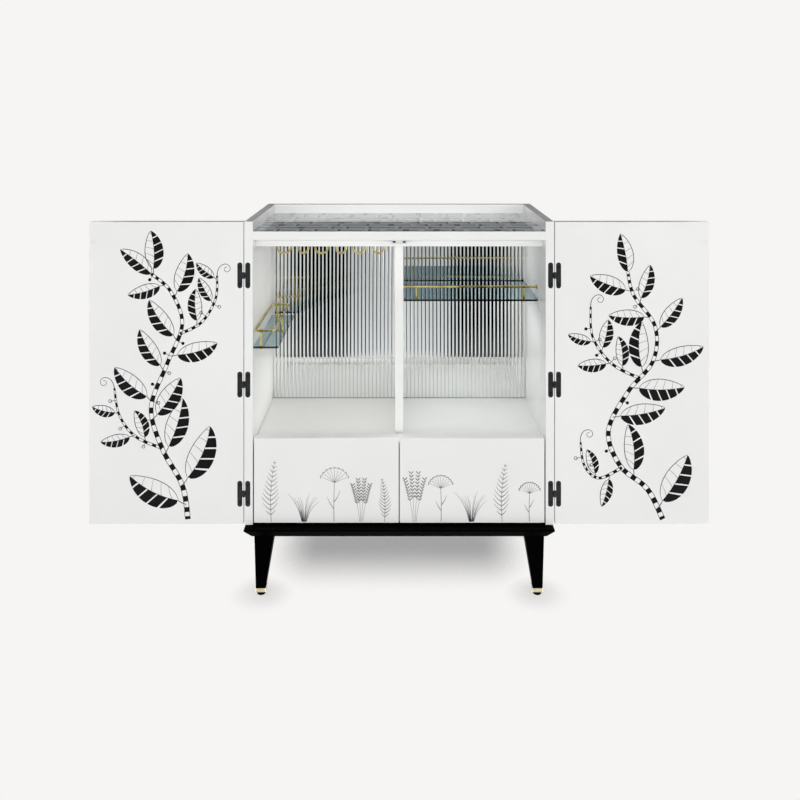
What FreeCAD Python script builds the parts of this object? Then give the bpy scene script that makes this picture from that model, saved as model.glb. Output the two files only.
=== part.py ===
import FreeCAD, Part
import math
import os

os.makedirs("parts", exist_ok=True)

# Bar cabinet with its doors folded right back. Millimetres, X to the right, Y to the back, Z up.
# The origin is on the floor, at the middle of the footprint.

# Carcass
carcass_width = 800
carcass_depth = 400
carcass_height = 783
board = 22
gallery_height = 26
drawer_space_height = 183
backing_thickness = 22
divider_setback = 83
deck_setback = 22
edge_radius = 0.8

# Valance under the top panel
valance_setback = 44
valance_thickness = 12
valance_height = 24
valance_bead_height = 6
valance_bead_setback = 2

# Base board
base_thickness = 25
base_nose = 4
base_side_setback = 3
base_bevel_run = 18
base_front_overhang = 26

# Legs, each a square taper from a wide top to a narrow foot
leg_length = 152
leg_top_width = 53.5
leg_top_depth = 53
leg_foot_width = 25.5
leg_foot_depth = 26
leg_top_side_inset = 22
leg_foot_side_inset = 25.5
leg_top_end_inset = 20
leg_foot_end_inset = 24
leg_edge_radius = 1.2
leg_bolt_radius = 4
leg_bolt_rise = 16
leg_bolt_depth = 34

# Ferrules and glides
ferrule_height = 10
ferrule_lip = 0.8
ferrule_edge_radius = 2
ferrule_groove_height = 1.2
ferrule_groove_depth = 0.7
glide_height = 10
glide_radius = 11
glide_edge_radius = 1.5

# Fluted mirrors
mirror_thickness = 6
mirror_rib_height = 2.2
mirror_rib_count = 32
mirror_side_clearance = 0.5

# Doors
door_thickness = 22
door_face_gap = 1
door_side_gap = 2
door_meeting_gap = 4
door_top_gap = 1
door_bottom_gap = 3

# Hinges
hinge_count = 3
top_hinge_drop = 139
bottom_hinge_rise = 80.5
leaf_width = 13
leaf_height = 67
leaf_thickness = 2
leaf_offset = 3.8
leaf_hole_spacing = 44
knuckle_radius = 3.5
frame_knuckle_height = 6
door_knuckle_height = 3.9
knuckle_end_gap = 0.3
knuckle_pocket_clearance = 0.5
hinge_pin_radius = 1.5
hinge_pin_clearance = 0.05
hinge_pin_head_radius = 2.6
hinge_pin_head_height = 0.8

# Countersunk screws of the hinges
screw_head_radius = 2.8
screw_head_depth = 1.4
screw_shank_radius = 1.4
screw_length = 16
screw_slot_width = 0.6
screw_slot_depth = 0.5

# Touch latch and its strikes
latch_width = 40
latch_height = 10
latch_front_setback = 3
plunger_spacing = 26
plunger_width = 7
plunger_height = 4
plunger_length = 31
plunger_clearance = 0.3
plunger_stand_out = 2.6
plunger_end_radius = 1
strike_radius = 6
strike_thickness = 2

# Drawers
drawer_side_gap = 3
drawer_meeting_gap = 3
drawer_front_thickness = 20
drawer_front_setback = 1
drawer_bottom_gap = 5
drawer_lip_height = 18
drawer_back_gap = 47
drawer_box_height = 145
drawer_box_rise = 18
drawer_wall = 12
drawer_bottom_thickness = 6
drawer_bottom_rise = 8
drawer_groove_depth = 5

# Drawer slides, a channel on the carcass round a channel on the drawer
slide_space = 13
runner_depth = 12
runner_height = 38
runner_setback = 25
runner_back_gap = 33
slide_wall = 1.5
slide_clearance = 0.4
slide_web_clearance = 0.7
slide_back_gap = 20

# Glass shelves
glass_thickness = 5
left_shelf_top_height = 254
left_shelf_width = 65
left_shelf_groove_depth = 8
left_shelf_front_setback = 6
left_shelf_back_clearance = 20
left_shelf_corner_radius = 6
right_shelf_top_height = 351
right_shelf_front_setback = 113
right_shelf_back_clearance = 15
right_shelf_side_clearance = 1
right_shelf_corner_radius = 3

# Pins under the right shelf
shelf_pin_radius = 2.5
shelf_pin_reach = 9
shelf_pin_depth = 8
shelf_pin_end_inset = 25

# Brass gallery of the left shelf
gallery_rod_radius = 3
gallery_rise = 39
gallery_width = 54
gallery_wall_gap = 1
gallery_front_inset = 8
gallery_back_inset = 26
gallery_corner_radius = 12
gallery_wall_corner_radius = 5
gallery_post_inset = 19

# Brass rail of the right shelf
rail_rod_radius = 3
rail_rise = 30
rail_setback = 20
rail_post_inset = 37
rail_socket_radius = 6
rail_socket_length = 3

# Posts of the gallery and the rail
post_collar_radius = 5
post_collar_height = 3
post_stud_radius = 2
post_nut_radius = 5
post_nut_height = 2.5
post_sleeve_radius_share = 1.4
post_sleeve_length = 9

# Stemware holders, each a pair of bent brass rods along a slot. They share the left compartment's width
holder_count = 3
holder_first_share = 0.1935
holder_spacing_share = 0.2725
holder_width_share = 0.83
holder_rod_radius = 2.5
holder_half_slot = 8
holder_front_setback = 62
holder_dip = 47
holder_run_drop = 27
holder_turn_in = 28
holder_turn_back = 30
holder_rise_back = 33
holder_back_gap = 30
holder_dip_radius = 22
holder_rise_radius = 28
holder_back_radius = 8

# Overrun of every cut past the face that it opens
overrun = 1
same_place = 0.001

# Planes that the pieces share
front_y = base_front_overhang - (base_front_overhang + carcass_depth) / 2
back_y = front_y + carcass_depth
side_x = carcass_width / 2
inner_x = side_x - board
half_divider = board / 2
foot_height = glide_height + ferrule_height
base_bottom = foot_height + leg_length
base_top = base_bottom + base_thickness
carcass_top = base_top + carcass_height
tray_floor = carcass_top - gallery_height
ceiling = tray_floor - board
deck_bottom = base_top + drawer_space_height
deck_top = deck_bottom + board
inner_back_y = back_y - board
backing_y = inner_back_y - backing_thickness
mirror_y = backing_y - mirror_thickness
hinge_x = side_x + door_side_gap / 2
hinge_y = front_y - door_face_gap / 2
plunger_x = plunger_spacing / 2

origin = FreeCAD.Vector(0, 0, 0)
to_right = FreeCAD.Vector(1, 0, 0)
to_back = FreeCAD.Vector(0, 1, 0)
up = FreeCAD.Vector(0, 0, 1)


def write(name, shape):
    shape.exportStep("parts/" + name + ".step")


def write_pair(name, left_shape):
    write(name + "_left", left_shape)
    write(name + "_right", mirrored(left_shape))


def mirrored(shape):
    return shape.mirror(origin, to_right)


def group(shapes):
    return Part.makeCompound(shapes)


def box(x_range, y_range, z_range):
    corner = FreeCAD.Vector(x_range[0], y_range[0], z_range[0])
    width, depth, height = x_range[1] - x_range[0], y_range[1] - y_range[0], z_range[1] - z_range[0]
    return Part.makeBox(width, depth, height, corner)


def widened(span, margin):
    return span[0] - margin, span[1] + margin


def rod(radius, start, end):
    along = end.sub(start)
    return Part.makeCylinder(radius, along.Length, start, along)


def edges_on(shape, axis, place):
    """The edges that lie in the plane where the axis has the value place."""
    found = []
    for edge in shape.Edges:
        bounds = edge.BoundBox
        low, high = getattr(bounds, axis + "Min"), getattr(bounds, axis + "Max")
        if abs(low - place) < same_place and abs(high - place) < same_place:
            found.append(edge)
    return found


def soften(shape, radius, planes):
    """Rounds the edges that lie in any of the planes, given as (axis, place)."""
    chosen = []
    for axis, place in planes:
        for edge in edges_on(shape, axis, place):
            if not any(edge.isSame(other) for other in chosen):
                chosen.append(edge)
    return shape.makeFillet(radius, chosen)


def soft_box(x_range, y_range, z_range, radius):
    shape = box(x_range, y_range, z_range)
    return shape.makeFillet(radius, shape.Edges)


def uprights(shape):
    """The edges that join the bottom of the shape to its top."""
    height = shape.BoundBox.ZLength
    return [edge for edge in shape.Edges if edge.BoundBox.ZLength > height - same_place]


def rectangle(x_range, y_range, z):
    left, right = x_range
    front, back = y_range
    corners = [(left, front), (right, front), (right, back), (left, back)]
    points = [FreeCAD.Vector(x, y, z) for x, y in corners]
    return Part.makePolygon(points + points[:1])


def bend(before, corner, after, radius):
    """The arc that rounds a corner of a path, with the two points where it starts and ends."""
    arriving = before.sub(corner).normalize()
    leaving = after.sub(corner).normalize()
    half_angle = arriving.getAngle(leaving) / 2
    reach = radius / math.tan(half_angle)
    start = corner.add(arriving * reach)
    end = corner.add(leaving * reach)
    towards_centre = arriving.add(leaving).normalize()
    middle = corner.add(towards_centre * (radius / math.sin(half_angle) - radius))
    return start, Part.Arc(start, middle, end).toShape(), end


def bent_rod(points, bend_radii, rod_radius):
    """A round rod along straight runs joined by arcs. Every point between the ends has its own radius."""
    edges = []
    last = points[0]
    for place, radius in enumerate(bend_radii):
        start, arc, end = bend(points[place], points[place + 1], points[place + 2], radius)
        edges += [Part.makeLine(last, start), arc]
        last = end
    edges.append(Part.makeLine(last, points[-1]))
    section = Part.makeCircle(rod_radius, points[0], points[1].sub(points[0]))
    return Part.Wire(edges).makePipeShell([Part.Wire([section])], True, False)


# Screws

def screw_body():
    """A countersunk screw that points along +Y, with its head's face at Y = 0."""
    head = Part.makeCone(screw_head_radius, screw_shank_radius, screw_head_depth, origin, to_back)
    shank = Part.makeCylinder(screw_shank_radius, screw_length, origin, to_back)
    return head.fuse(shank)


def screw():
    half_slot = screw_slot_width / 2
    slot = box((-screw_head_radius, screw_head_radius), (0, screw_slot_depth), (-half_slot, half_slot))
    return screw_body().cut(slot)


# Hinges, drawn with the axis at X = 0 and Y = 0 and with the leaf towards +X

face_offset = door_face_gap / 2
leaf_y = (face_offset, face_offset + leaf_thickness)
knuckle_gap_top = frame_knuckle_height / 2 + knuckle_end_gap
door_knuckle_top = knuckle_gap_top + door_knuckle_height
hinge_pin_head_base = door_knuckle_top + knuckle_end_gap
hinge_pocket_top = hinge_pin_head_base + hinge_pin_head_height + knuckle_end_gap


def leaf_plate():
    half_straight = (leaf_height - leaf_width) / 2
    middle_x = leaf_offset + leaf_width / 2
    plate = box((leaf_offset, leaf_offset + leaf_width), leaf_y, (-half_straight, half_straight))
    for z in (-half_straight, half_straight):
        start = FreeCAD.Vector(middle_x, leaf_y[0], z)
        plate = plate.fuse(Part.makeCylinder(leaf_width / 2, leaf_thickness, start, to_back))
    return plate.removeSplitter()


def leaf_screw_places():
    x = leaf_offset + leaf_width / 2
    return [FreeCAD.Vector(x, face_offset, side * leaf_hole_spacing / 2) for side in (-1, 1)]


def knuckle(bottom, top):
    barrel = Part.makeCylinder(knuckle_radius, top - bottom, FreeCAD.Vector(0, 0, bottom))
    return barrel.fuse(box((0, leaf_offset), leaf_y, (bottom, top)))


def bored_leaf(knuckle_spans, bore_radius):
    leaf = leaf_plate()
    for bottom, top in knuckle_spans:
        leaf = leaf.fuse(knuckle(bottom, top))
    bore_start = FreeCAD.Vector(0, 0, -hinge_pocket_top)
    leaf = leaf.cut(Part.makeCylinder(bore_radius, hinge_pocket_top * 2, bore_start))
    for place in leaf_screw_places():
        leaf = leaf.cut(screw_body().translated(place))
    return leaf.removeSplitter()


def frame_leaf():
    half_height = frame_knuckle_height / 2
    return bored_leaf([(-half_height, half_height)], hinge_pin_radius)


def door_leaf():
    spans = [(-door_knuckle_top, -knuckle_gap_top), (knuckle_gap_top, door_knuckle_top)]
    return mirrored(bored_leaf(spans, hinge_pin_radius + hinge_pin_clearance))


def hinge_pin():
    head = up * hinge_pin_head_base
    cap = up * hinge_pin_head_height
    pin = rod(hinge_pin_radius, origin.sub(head), head)
    for base in (head, origin.sub(head).sub(cap)):
        pin = pin.fuse(rod(hinge_pin_head_radius, base, base.add(cap)))
    return pin


def hinge_pocket():
    """What a leaf, its knuckle and its screws take out of the board that carries them."""
    pocket_radius = knuckle_radius + knuckle_pocket_clearance
    span = (-hinge_pocket_top, hinge_pocket_top)
    start = FreeCAD.Vector(0, 0, -hinge_pocket_top)
    pocket = leaf_plate().fuse(Part.makeCylinder(pocket_radius, hinge_pocket_top * 2, start))
    pocket = pocket.fuse(box((0, leaf_offset), leaf_y, span))
    for place in leaf_screw_places():
        pocket = pocket.fuse(screw_body().translated(place))
    return pocket


def at_left_hinges(shape):
    """One copy of the shape at each hinge of the left door."""
    lowest = base_top + bottom_hinge_rise
    highest = carcass_top - top_hinge_drop
    step = (highest - lowest) / (hinge_count - 1)
    heights = [lowest + step * place for place in range(hinge_count)]
    return [shape.translated(FreeCAD.Vector(-hinge_x, hinge_y, height)) for height in heights]


# Brass posts of the shelf rails

def post(foot, rail_height, rod_radius):
    """A post with a collar on the glass, a sleeve round the rail above and a nut under the glass."""
    rail_end = FreeCAD.Vector(foot.x, foot.y, rail_height)
    nut_top = foot.sub(up * glass_thickness)
    stem = rod(rod_radius, foot, rail_end)
    stem = stem.fuse(rod(post_collar_radius, foot, foot.add(up * post_collar_height)))
    stem = stem.fuse(rod(post_stud_radius, nut_top, foot))
    return stem.fuse(rod(post_nut_radius, nut_top.sub(up * post_nut_height), nut_top))


def sleeve(middle, along, rod_radius):
    half = along * (post_sleeve_length / 2)
    return rod(rod_radius * post_sleeve_radius_share, middle.sub(half), middle.add(half))


def stud_hole(foot):
    return rod(post_stud_radius, foot.sub(up * glass_thickness), foot)


# Left glass shelf with its gallery

left_glass_top = deck_top + left_shelf_top_height
left_glass_bottom = left_glass_top - glass_thickness
left_glass_x = (-inner_x - left_shelf_groove_depth, -inner_x + left_shelf_width)
left_glass_y = (front_y + left_shelf_front_setback, mirror_y - left_shelf_back_clearance)
gallery_wall_x = -inner_x + gallery_wall_gap + gallery_rod_radius
gallery_inner_x = -inner_x + gallery_width
gallery_y = (left_glass_y[0] + gallery_front_inset, left_glass_y[1] - gallery_back_inset)
gallery_z = left_glass_top + gallery_rise


def left_gallery_feet():
    """Where the three posts stand on the glass, with the direction of the rail above each."""
    post_x = -inner_x + gallery_post_inset
    middle_y = (gallery_y[0] + gallery_y[1]) / 2
    return [
        (FreeCAD.Vector(post_x, gallery_y[0], left_glass_top), to_right),
        (FreeCAD.Vector(post_x, gallery_y[1], left_glass_top), to_right),
        (FreeCAD.Vector(gallery_inner_x, middle_y, left_glass_top), to_back),
    ]


def left_shelf_glass():
    glass = box(left_glass_x, left_glass_y, (left_glass_bottom, left_glass_top))
    corners = [edge for edge in uprights(glass) if edge.BoundBox.XMin > -inner_x]
    glass = glass.makeFillet(left_shelf_corner_radius, corners)
    for foot, along in left_gallery_feet():
        glass = glass.cut(stud_hole(foot))
    return glass


def left_shelf_gallery():
    middle_y = (gallery_y[0] + gallery_y[1]) / 2
    start = FreeCAD.Vector(gallery_wall_x, middle_y, gallery_z)
    corners = [
        (gallery_wall_x, gallery_y[0], gallery_wall_corner_radius),
        (gallery_inner_x, gallery_y[0], gallery_corner_radius),
        (gallery_inner_x, gallery_y[1], gallery_corner_radius),
        (gallery_wall_x, gallery_y[1], gallery_wall_corner_radius),
    ]
    points = [start] + [FreeCAD.Vector(x, y, gallery_z) for x, y, radius in corners] + [start]
    gallery = bent_rod(points, [radius for x, y, radius in corners], gallery_rod_radius)
    for foot, along in left_gallery_feet():
        head = FreeCAD.Vector(foot.x, foot.y, gallery_z)
        gallery = gallery.fuse(post(foot, gallery_z, gallery_rod_radius))
        gallery = gallery.fuse(sleeve(head, along, gallery_rod_radius))
    return gallery


# Right glass shelf with its rail and pins

right_glass_top = deck_top + right_shelf_top_height
right_glass_bottom = right_glass_top - glass_thickness
right_glass_x = (half_divider + right_shelf_side_clearance, inner_x - right_shelf_side_clearance)
right_glass_y = (front_y + right_shelf_front_setback, mirror_y - right_shelf_back_clearance)
rail_y = right_glass_y[0] + rail_setback
rail_z = right_glass_top + rail_rise


def right_rail_feet():
    places = (half_divider + rail_post_inset, inner_x - rail_post_inset)
    return [FreeCAD.Vector(x, rail_y, right_glass_top) for x in places]


def right_shelf_glass():
    glass = box(right_glass_x, right_glass_y, (right_glass_bottom, right_glass_top))
    corners = [edge for edge in uprights(glass) if edge.BoundBox.YMin < rail_y]
    glass = glass.makeFillet(right_shelf_corner_radius, corners)
    for foot in right_rail_feet():
        glass = glass.cut(stud_hole(foot))
    return glass


def right_shelf_rail():
    start = FreeCAD.Vector(half_divider, rail_y, rail_z)
    end = FreeCAD.Vector(inner_x, rail_y, rail_z)
    rail = rod(rail_rod_radius, start, end)
    socket = to_right * rail_socket_length
    rail = rail.fuse(rod(rail_socket_radius, start, start.add(socket)))
    rail = rail.fuse(rod(rail_socket_radius, end.sub(socket), end))
    for foot in right_rail_feet():
        head = FreeCAD.Vector(foot.x, foot.y, rail_z)
        rail = rail.fuse(post(foot, rail_z, rail_rod_radius))
        rail = rail.fuse(sleeve(head, to_right, rail_rod_radius))
    return rail


def shelf_pins():
    """Two pins in the divider, then two in the right side panel."""
    z = right_glass_bottom - shelf_pin_radius
    pins = []
    for wall, into_room in ((half_divider, 1), (inner_x, -1)):
        for y in (right_glass_y[0] + shelf_pin_end_inset, right_glass_y[1] - shelf_pin_end_inset):
            inside = FreeCAD.Vector(wall - into_room * shelf_pin_depth, y, z)
            outside = FreeCAD.Vector(wall + into_room * shelf_pin_reach, y, z)
            pins.append(rod(shelf_pin_radius, inside, outside))
    return pins


# Carcass boards

def side_panel(is_left):
    """The left panel is drawn, with the left shelf's groove. The right one has the pin holes instead."""
    panel = box((-side_x, -inner_x), (front_y, back_y), (base_top, carcass_top))
    panel = soften(panel, edge_radius, [("Y", front_y), ("Z", carcass_top), ("Y", back_y)])
    for pocket in at_left_hinges(hinge_pocket()):
        panel = panel.cut(pocket)
    if is_left:
        groove_x = (left_glass_x[0], -inner_x + overrun)
        return panel.cut(box(groove_x, left_glass_y, (left_glass_bottom, left_glass_top)))
    panel = mirrored(panel)
    for pin in shelf_pins():
        panel = panel.cut(pin)
    return panel


def top_panel():
    panel = box((-inner_x, inner_x), (front_y, inner_back_y), (ceiling, tray_floor))
    return soften(panel, edge_radius, [("Y", front_y)])


def back_panel():
    panel = box((-inner_x, inner_x), (inner_back_y, back_y), (base_top, carcass_top))
    return soften(panel, edge_radius, [("Z", carcass_top)])


def valance():
    front = front_y + valance_setback
    depth_range = (front, front + valance_thickness)
    bead_top = ceiling - valance_height + valance_bead_height
    upper = box((-inner_x, inner_x), depth_range, (bead_top, ceiling))
    upper = soften(upper, edge_radius, [("Y", front)])
    bead_front = front + valance_bead_setback
    bead = box((-inner_x, inner_x), (bead_front, depth_range[1]), (ceiling - valance_height, bead_top))
    bead = soften(bead, valance_bead_setback, [("Z", ceiling - valance_height)])
    return upper.fuse(bead)


def centre_divider():
    divider = box((-half_divider, half_divider), (front_y + divider_setback, backing_y), (deck_top, ceiling))
    divider = soften(divider, edge_radius, [("Y", front_y + divider_setback)])
    for pin in shelf_pins():
        divider = divider.cut(pin)
    return divider


def deck_panel():
    deck = box((-inner_x, inner_x), (front_y + deck_setback, inner_back_y), (deck_bottom, deck_top))
    return soften(deck, edge_radius, [("Y", front_y + deck_setback)])


def drawer_divider():
    depth_range = (front_y + deck_setback, inner_back_y)
    return box((-half_divider, half_divider), depth_range, (base_top, deck_bottom))


def mirror_backing():
    return box((-inner_x, inner_x), (backing_y, inner_back_y), (deck_top, ceiling))


def fluted_mirror():
    """A mirrored plate with upright convex ribs, for the left compartment."""
    left = -inner_x + mirror_side_clearance
    right = -half_divider - mirror_side_clearance
    pitch = (right - left) / mirror_rib_count
    valley_y = mirror_y + mirror_rib_height
    edges = []
    for place in range(mirror_rib_count):
        start = FreeCAD.Vector(left + pitch * place, valley_y, deck_top)
        crest = FreeCAD.Vector(left + pitch * (place + 1 / 2), mirror_y, deck_top)
        end = FreeCAD.Vector(left + pitch * (place + 1), valley_y, deck_top)
        edges.append(Part.Arc(start, crest, end).toShape())
    back = [(right, valley_y), (right, backing_y), (left, backing_y), (left, valley_y)]
    points = [FreeCAD.Vector(x, y, deck_top) for x, y in back]
    edges += [Part.makeLine(points[place], points[place + 1]) for place in range(len(points) - 1)]
    return Part.Face(Part.Wire(edges)).extrude(up * (ceiling - deck_top))


def base_board():
    nose_bottom = base_top - base_nose
    nose_x = side_x - base_side_setback
    top = box((-nose_x, nose_x), (front_y - base_front_overhang, back_y), (nose_bottom, base_top))
    bevel_x = nose_x - base_bevel_run
    bevel_front = front_y - base_front_overhang + base_bevel_run
    lower = rectangle((-bevel_x, bevel_x), (bevel_front, back_y), base_bottom)
    upper = rectangle((-nose_x, nose_x), (front_y - base_front_overhang, back_y), nose_bottom)
    board_shape = top.fuse(Part.makeLoft([lower, upper], True, True)).removeSplitter()
    board_shape = soften(board_shape, edge_radius, [("Z", base_top)])
    for bolt in leg_bolts():
        board_shape = board_shape.cut(bolt)
    return board_shape


# Legs, drawn for the front left corner and mirrored to the others

leg_foot_x = (-side_x + leg_foot_side_inset, -side_x + leg_foot_side_inset + leg_foot_width)
leg_foot_y = (front_y + leg_foot_end_inset, front_y + leg_foot_end_inset + leg_foot_depth)
leg_top_x = (-side_x + leg_top_side_inset, -side_x + leg_top_side_inset + leg_top_width)
leg_top_y = (front_y + leg_top_end_inset, front_y + leg_top_end_inset + leg_top_depth)
leg_foot_middle = FreeCAD.Vector(sum(leg_foot_x) / 2, sum(leg_foot_y) / 2, 0)
leg_top_middle = FreeCAD.Vector(sum(leg_top_x) / 2, sum(leg_top_y) / 2, base_bottom)


def at_corners(shape):
    """The shape at the front left, front right, back left and back right corner of the carcass."""
    middle = FreeCAD.Vector(0, front_y + carcass_depth / 2, 0)
    back = shape.mirror(middle, to_back)
    return [shape, mirrored(shape), back, mirrored(back)]


def front_left_bolt():
    bottom = leg_top_middle.sub(up * leg_bolt_depth)
    return rod(leg_bolt_radius, bottom, leg_top_middle.add(up * leg_bolt_rise))


def leg_bolts():
    return at_corners(front_left_bolt())


def leg():
    foot = rectangle(leg_foot_x, leg_foot_y, foot_height)
    top = rectangle(leg_top_x, leg_top_y, base_bottom)
    shape = Part.makeLoft([foot, top], True, True)
    return shape.makeFillet(leg_edge_radius, uprights(shape)).cut(front_left_bolt())


def ferrule():
    x_range = widened(leg_foot_x, ferrule_lip)
    y_range = widened(leg_foot_y, ferrule_lip)
    block = box(x_range, y_range, (glide_height, foot_height))
    block = block.makeFillet(ferrule_edge_radius, uprights(block))
    groove_middle = (glide_height + foot_height) / 2
    groove_z = widened((groove_middle, groove_middle), ferrule_groove_height / 2)
    core = box(widened(x_range, -ferrule_groove_depth), widened(y_range, -ferrule_groove_depth), groove_z)
    core = core.makeFillet(ferrule_edge_radius, uprights(core))
    outside = box(widened(x_range, overrun), widened(y_range, overrun), groove_z)
    return block.cut(outside.cut(core))


def glide():
    shape = Part.makeCylinder(glide_radius, glide_height, leg_foot_middle)
    return soften(shape, glide_edge_radius, [("Z", 0)])


# Left door and what rides on it, folded right back

door_x = (-side_x - door_side_gap - (side_x - door_meeting_gap / 2), -side_x - door_side_gap)
door_z = (base_top + door_bottom_gap, carcass_top - door_top_gap)
strike_x = -2 * hinge_x + plunger_x
strike_z = ceiling - latch_height / 2


def strike():
    start = FreeCAD.Vector(strike_x, front_y, strike_z)
    return Part.makeCylinder(strike_radius, strike_thickness, start, to_back)


def door():
    shape = soft_box(door_x, (front_y, front_y + door_thickness), door_z, edge_radius)
    for pocket in at_left_hinges(mirrored(hinge_pocket())):
        shape = shape.cut(pocket)
    return shape.cut(strike())


# Touch latch under the front edge of the top panel

latch_front = front_y + latch_front_setback
latch_back = front_y + valance_setback
plunger_front = latch_front - plunger_stand_out


def plunger():
    """The left plunger, pushed in as a closed door leaves it."""
    x_range = widened((-plunger_x, -plunger_x), plunger_width / 2)
    z_range = widened((strike_z, strike_z), plunger_height / 2)
    shape = box(x_range, (plunger_front, plunger_front + plunger_length), z_range)
    return soften(shape, plunger_end_radius, [("Y", plunger_front)])


def latch_body():
    half_width = latch_width / 2
    body = box((-half_width, half_width), (latch_front, latch_back), (ceiling - latch_height, ceiling))
    body = soften(body, edge_radius, [("Y", latch_front)])
    bore_y = (latch_front - overrun, plunger_front + plunger_length + plunger_clearance)
    bore_z = widened((strike_z, strike_z), plunger_height / 2 + plunger_clearance)
    for x in (-plunger_x, plunger_x):
        bore_x = widened((x, x), plunger_width / 2 + plunger_clearance)
        body = body.cut(box(bore_x, bore_y, bore_z))
    return body


# Left drawer

drawer_front_x = (-inner_x + drawer_side_gap, -drawer_meeting_gap / 2)
drawer_front_y = (front_y + drawer_front_setback, front_y + drawer_front_setback + drawer_front_thickness)
drawer_front_z = (base_top + drawer_bottom_gap, deck_top + drawer_lip_height)
drawer_box_x = (-inner_x + slide_space, -half_divider - slide_space)
drawer_box_y = (drawer_front_y[1], inner_back_y - drawer_back_gap)
drawer_box_z = (base_top + drawer_box_rise, base_top + drawer_box_rise + drawer_box_height)
drawer_bottom_base = drawer_box_z[0] + drawer_bottom_rise
drawer_bottom_z = (drawer_bottom_base, drawer_bottom_base + drawer_bottom_thickness)
drawer_inner_x = widened(drawer_box_x, -drawer_wall)
slide_z = sum(drawer_box_z) / 2
runner_y = (front_y + runner_setback, inner_back_y - runner_back_gap)


def drawer_bottom():
    y_range = (drawer_box_y[0] - drawer_groove_depth, drawer_box_y[1])
    return box(widened(drawer_inner_x, drawer_groove_depth), y_range, drawer_bottom_z)


def drawer_front():
    front = soft_box(drawer_front_x, drawer_front_y, drawer_front_z, edge_radius)
    return front.cut(drawer_bottom())


def drawer_side(x_range):
    return box(x_range, drawer_box_y, drawer_box_z).cut(drawer_bottom())


def drawer_back():
    y_range = (drawer_box_y[1] - drawer_wall, drawer_box_y[1])
    return box(drawer_inner_x, y_range, (drawer_bottom_z[1], drawer_box_z[1]))


# Slides, drawn on the wall at X = 0 with the drawer towards +X, then placed at each wall

def channel(depth, height, y_range):
    half_height = height / 2
    outside = box((0, depth), y_range, widened((slide_z, slide_z), half_height))
    hollow_z = widened((slide_z, slide_z), half_height - slide_wall)
    return outside.cut(box((slide_wall, depth + overrun), widened(y_range, overrun), hollow_z))


def runner():
    return channel(runner_depth, runner_height, runner_y)


def slide():
    depth = slide_space - slide_wall - slide_web_clearance
    height = runner_height - 2 * slide_wall - 2 * slide_clearance
    shape = mirrored(channel(depth, height, (runner_y[0], runner_y[1] - slide_back_gap)))
    return shape.translated(FreeCAD.Vector(slide_space, 0, 0))


def at_drawer_walls(shape):
    """The shape on the cabinet's side wall and, turned round, on the drawer divider."""
    on_side = shape.translated(FreeCAD.Vector(-inner_x, 0, 0))
    on_divider = mirrored(shape).translated(FreeCAD.Vector(-half_divider, 0, 0))
    return [on_side, on_divider]


# Stemware holders

compartment_width = inner_x - half_divider
holder_spacing = compartment_width * holder_spacing_share
holder_half_width = holder_spacing * holder_width_share / 2


def holder_rod():
    """The right rod of a slot at X = 0. It dips from the ceiling in front and rises again to the slot."""
    front = front_y + holder_front_setback
    dip_z = ceiling - holder_dip
    run_z = ceiling - holder_run_drop
    back = mirror_y - holder_back_gap
    turn_x = holder_half_width - holder_turn_in
    turn_y = front + holder_turn_back
    places = [
        (holder_half_width, front, ceiling),
        (holder_half_width, front, dip_z),
        (turn_x, turn_y, dip_z),
        (holder_half_slot, turn_y + holder_rise_back, run_z),
        (holder_half_slot, back, run_z),
        (holder_half_slot, back, ceiling),
    ]
    radii = [holder_dip_radius, holder_rise_radius, holder_rise_radius, holder_back_radius]
    return bent_rod([FreeCAD.Vector(*place) for place in places], radii, holder_rod_radius)


def stemware_holder(place):
    x = -half_divider - compartment_width * holder_first_share - holder_spacing * place
    right = holder_rod()
    return group([half.translated(FreeCAD.Vector(x, 0, 0)) for half in (mirrored(right), right)])


def write_carcass():
    write("side_panel_left", side_panel(True))
    write("side_panel_right", side_panel(False))
    write("top_panel", top_panel())
    write("back_panel", back_panel())
    write("valance", valance())
    write("centre_divider", centre_divider())
    write("deck_panel", deck_panel())
    write("drawer_divider", drawer_divider())
    write("mirror_backing", mirror_backing())
    write_pair("fluted_mirror", fluted_mirror())
    write("base_board", base_board())


def write_legs():
    corners = ("front_left", "front_right", "back_left", "back_right")
    for corner, leg_shape, ferrule_shape in zip(corners, at_corners(leg()), at_corners(ferrule())):
        write("leg_" + corner, leg_shape)
        write("ferrule_" + corner, ferrule_shape)
    write("leg_glides", group(at_corners(glide())))
    write("leg_bolts", group(leg_bolts()))


def write_fittings():
    write("left_shelf_glass", left_shelf_glass())
    write("left_shelf_gallery", left_shelf_gallery())
    write("right_shelf_glass", right_shelf_glass())
    write("right_shelf_rail", right_shelf_rail())
    write("shelf_pins", group(shelf_pins()))
    for place in range(holder_count):
        write("stemware_holder_" + str(holder_count - place), stemware_holder(place))
    write("latch_body", latch_body())
    write_pair("latch_plunger", plunger())


def write_hinges():
    write_pair("hinge_frame_leaves", group(at_left_hinges(frame_leaf())))
    write_pair("hinge_door_leaves", group(at_left_hinges(door_leaf())))
    pins = at_left_hinges(hinge_pin())
    write("hinge_pins", group(pins + [mirrored(pin) for pin in pins]))
    frame_screws, door_screws = [], []
    for place in leaf_screw_places():
        frame_screws += at_left_hinges(screw().translated(place))
        door_screws += at_left_hinges(mirrored(screw().translated(place)))
    write("hinge_frame_screws", group(frame_screws + [mirrored(each) for each in frame_screws]))
    write_pair("hinge_door_screws", group(door_screws))


def write_doors():
    write_pair("door", door())
    write_pair("strike", strike())


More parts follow.
